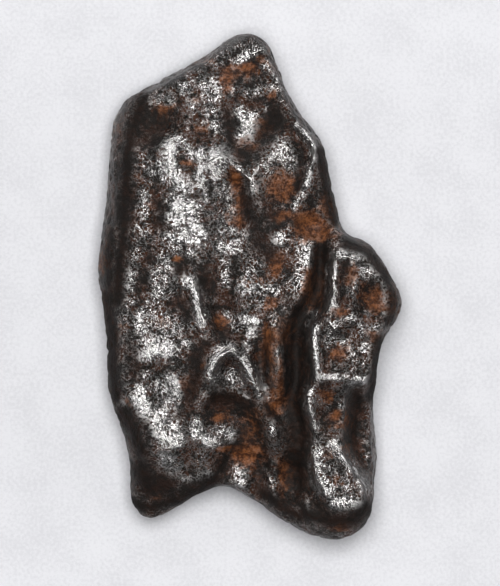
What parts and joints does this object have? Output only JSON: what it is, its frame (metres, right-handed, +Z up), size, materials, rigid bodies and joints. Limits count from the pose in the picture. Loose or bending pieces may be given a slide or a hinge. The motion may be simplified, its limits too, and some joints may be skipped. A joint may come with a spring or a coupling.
{
  "type": "iron meteorite",
  "caption": "Long, flat lump of natural iron with thumbprint hollows, sharp ridges and two blunt feet at one end. It lies loose on its flatter face.",
  "frame": {"origin": "middle of the lump's bounding box, on the ground it lies on", "axes": "+Z up out of the ridged upper face, +Y along the length towards the single pointed end, +X towards the side with the angular lobe"},
  "size_m": [0.0452, 0.0756, 0.0215],
  "materials": {
    "meteoritic_iron": "dark brown-black fusion crust, polished to gunmetal on the high places, rust brown in the hollows, thinly lacquered"
  },
  "bodies": {
    "root": {"meteorite": "meteoritic_iron"}
  },
  "joints": []
}
